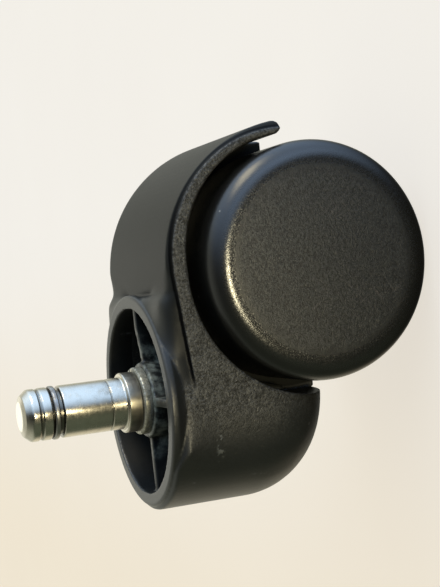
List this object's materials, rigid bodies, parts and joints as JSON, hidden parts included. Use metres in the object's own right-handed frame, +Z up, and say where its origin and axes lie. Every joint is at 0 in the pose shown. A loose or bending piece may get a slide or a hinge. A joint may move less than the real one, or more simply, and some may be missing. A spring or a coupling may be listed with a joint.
{
  "type": "chair caster wheel",
  "caption": "Hooded twin-wheel swivel caster with a grip-ring stem that pushes into a chair leg.",
  "frame": {"origin": "on the stem axis, at the shoulder that meets the underside of the chair leg", "axes": "+Z up the stem, +X from the stem axis towards the axle, +Y along the axle towards the left wheel"},
  "size_m": [0.0792, 0.0546, 0.0854],
  "materials": {
    "hood_plastic": "dull black moulded plastic, rough on the flat sides and smoother on the outer shell",
    "wheel_plastic": "near-black moulded plastic with a fine grain on the outer face",
    "plated_steel": "bright plated steel, turned",
    "spring_steel": "dark spring steel",
    "axle_steel": "plain bright steel",
    "bush_metal": "dull olive plated steel, dusty"
  },
  "bodies": {
    "stem": {"stem": "plated_steel", "grip_ring": "spring_steel", "stem_retaining_ring": "spring_steel"},
    "hood": {"hood": "hood_plastic", "socket_bush": "bush_metal", "axle": "axle_steel", "left_axle_ring": "spring_steel", "right_axle_ring": "spring_steel"},
    "left_wheel": {"left_wheel": "wheel_plastic"},
    "right_wheel": {"right_wheel": "wheel_plastic"}
  },
  "joints": [
    {"name": "swivel", "type": "hinge", "parent": "stem", "child": "hood", "pos_m": [0, 0, -0.008], "axis": [0, 0, 1], "continuous": true},
    {"name": "left_wheel_spin", "type": "hinge", "parent": "hood", "child": "left_wheel", "pos_m": [0.026, 0, -0.0384], "axis": [0, 1, 0], "continuous": true},
    {"name": "right_wheel_spin", "type": "hinge", "parent": "hood", "child": "right_wheel", "pos_m": [0.026, 0, -0.0384], "axis": [0, 1, 0], "continuous": true}
  ]
}
